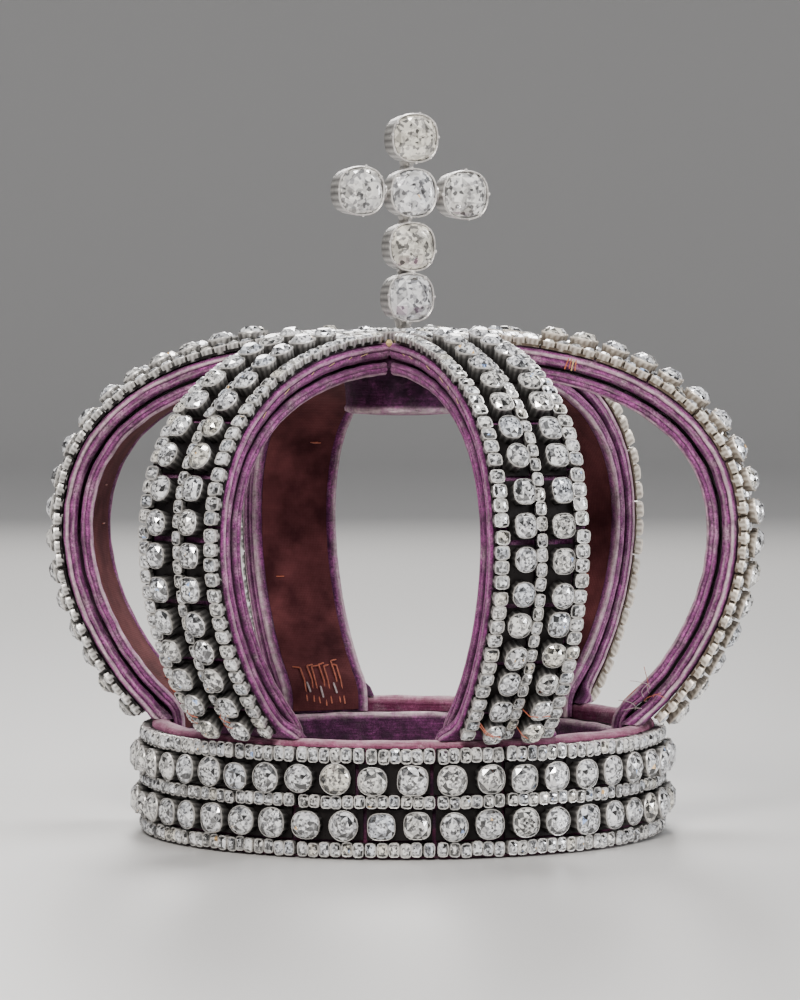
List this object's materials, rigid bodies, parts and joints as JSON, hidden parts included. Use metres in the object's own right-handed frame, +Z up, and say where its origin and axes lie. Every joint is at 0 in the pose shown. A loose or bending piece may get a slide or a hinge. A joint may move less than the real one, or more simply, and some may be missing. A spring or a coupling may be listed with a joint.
{
  "type": "nuptial crown",
  "caption": "Small jewelled crown: a velvet-wrapped circlet and half-arches sewn with silver-set stones, topped by a cross of large stones.",
  "frame": {"origin": "centre of the circlet's bottom, on the surface that the crown stands on", "axes": "+Z up along the crown's axis, -Y out through the front arch and the face of the cross"},
  "size_m": [0.1314, 0.1444, 0.1433],
  "materials": {
    "velvet": "cut velvet, worn pale along its edges",
    "velvet_lining": "cut velvet",
    "lining": "plain weave, faded",
    "silver": "cast silver, oxidised in the recesses",
    "frame_metal": "dull drawn strip",
    "stone": "faceted and polished"
  },
  "bodies": {
    "root": {"arch_front_outer_band": "velvet", "arch_front_lining_band": "lining", "arch_front_bars_left": "silver", "arch_front_bars_middle": "silver", "arch_front_bars_right": "silver", "arch_front_collets_left": "silver", "arch_front_collets_right": "silver", "arch_right_front_outer_band": "velvet", "arch_right_front_lining_band": "lining", "arch_right_front_bars_left": "silver", "arch_right_front_bars_middle": "silver", "arch_right_front_bars_right": "silver", "arch_right_front_collets_left": "silver", "arch_right_front_collets_right": "silver", "arch_right_back_outer_band": "velvet", "arch_right_back_lining_band": "lining", "arch_right_back_bars_left": "silver", "arch_right_back_bars_middle": "silver", "arch_right_back_bars_right": "silver", "arch_right_back_collets_left": "silver", "arch_right_back_collets_right": "silver", "arch_back_outer_band": "velvet", "arch_back_lining_band": "lining", "arch_back_bars_left": "silver", "arch_back_bars_middle": "silver", "arch_back_bars_right": "silver", "arch_back_collets_left": "silver", "arch_back_collets_right": "silver", "arch_left_back_outer_band": "velvet", "arch_left_back_lining_band": "lining", "arch_left_back_bars_left": "silver", "arch_left_back_bars_middle": "silver", "arch_left_back_bars_right": "silver", "arch_left_back_collets_left": "silver", "arch_left_back_collets_right": "silver", "arch_left_front_outer_band": "velvet", "arch_left_front_lining_band": "lining", "arch_left_front_bars_left": "silver", "arch_left_front_bars_middle": "silver", "arch_left_front_bars_right": "silver", "arch_left_front_collets_left": "silver", "arch_left_front_collets_right": "silver", "circlet_band": "velvet", "circlet_lining": "velvet_lining", "circlet_collets_lower": "silver", "circlet_collets_upper": "silver", "circlet_bars_lower": "silver", "circlet_bars_middle": "silver", "circlet_bars_upper": "silver", "metal_skeleton": "frame_metal", "hub_plate": "velvet", "hub_pad": "velvet", "hub_rosette": "silver", "cross_setting": "silver", "cross_stone_lowest": "stone", "cross_stone_lower": "stone", "cross_stone_centre": "stone", "cross_stone_top": "stone", "cross_stone_left": "stone", "cross_stone_right": "stone"}
  },
  "joints": []
}
